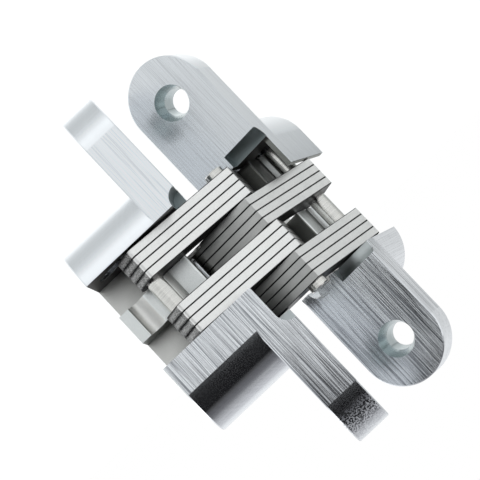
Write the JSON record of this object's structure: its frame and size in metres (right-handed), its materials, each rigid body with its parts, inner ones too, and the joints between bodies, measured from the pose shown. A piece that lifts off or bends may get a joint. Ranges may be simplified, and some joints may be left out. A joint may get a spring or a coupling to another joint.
{
  "type": "concealed barrel hinge",
  "caption": "Concealed door hinge: two slim round-ended cast leaves with deep blocks, joined by crossing dog-leg link plates, opening to 180 degrees.",
  "frame": {"origin": "middle of the jamb leaf's seat, the back of its faceplate, midway between its two screw holes", "axes": "+X out through the jamb leaf's front face, +Y across it to its open side, +Z along the pins"},
  "size_m": [0.0733, 0.0603, 0.1174],
  "materials": {
    "leaf": "brushed satin nickel plate on cast zinc alloy",
    "link": "satin plated steel plate",
    "pin": "bright ground steel"
  },
  "bodies": {
    "jamb": {"jamb_leaf": "leaf", "jamb_pivot_pin_inner": "pin", "jamb_pivot_pin_outer": "pin"},
    "jamb_link_pack": {"centre_pin": "pin", "door_slide_pin": "pin", "jamb_link_1": "link", "jamb_link_2": "link", "jamb_link_3": "link", "jamb_link_4": "link", "jamb_link_5": "link", "jamb_link_6": "link", "jamb_link_7": "link", "jamb_link_8": "link"},
    "door_link_pack": {"door_link_1": "link", "door_link_2": "link", "door_link_3": "link", "door_link_4": "link", "door_link_5": "link", "door_link_6": "link", "door_link_7": "link", "door_link_8": "link", "jamb_slide_pin": "pin"},
    "door": {"door_leaf": "leaf", "door_pivot_pin_inner": "pin", "door_pivot_pin_outer": "pin"}
  },
  "joints": [
    {"name": "jamb_fold", "type": "hinge", "parent": "jamb", "child": "jamb_link_pack", "pos_m": [0.00455, -0.0057, 0], "axis": [0, 0, -1], "range_deg": [-47.47, 72.53]},
    {"name": "link_cross", "type": "hinge", "parent": "jamb_link_pack", "child": "door_link_pack", "pos_m": [0.0207, -0.0023, 0], "axis": [0, 0, -1], "range_deg": [-36.28, 23.74]},
    {"name": "door_fold", "type": "hinge", "parent": "door_link_pack", "child": "door", "pos_m": [0.02268, -0.01868, 0], "axis": [0, 0, -1], "range_deg": [-47.48, 72.54]}
  ],
  "couplings": [
    {"joint": "link_cross", "follows": "jamb_fold", "ratio": -0.5},
    {"joint": "door_fold", "follows": "jamb_fold", "ratio": 1}
  ]
}
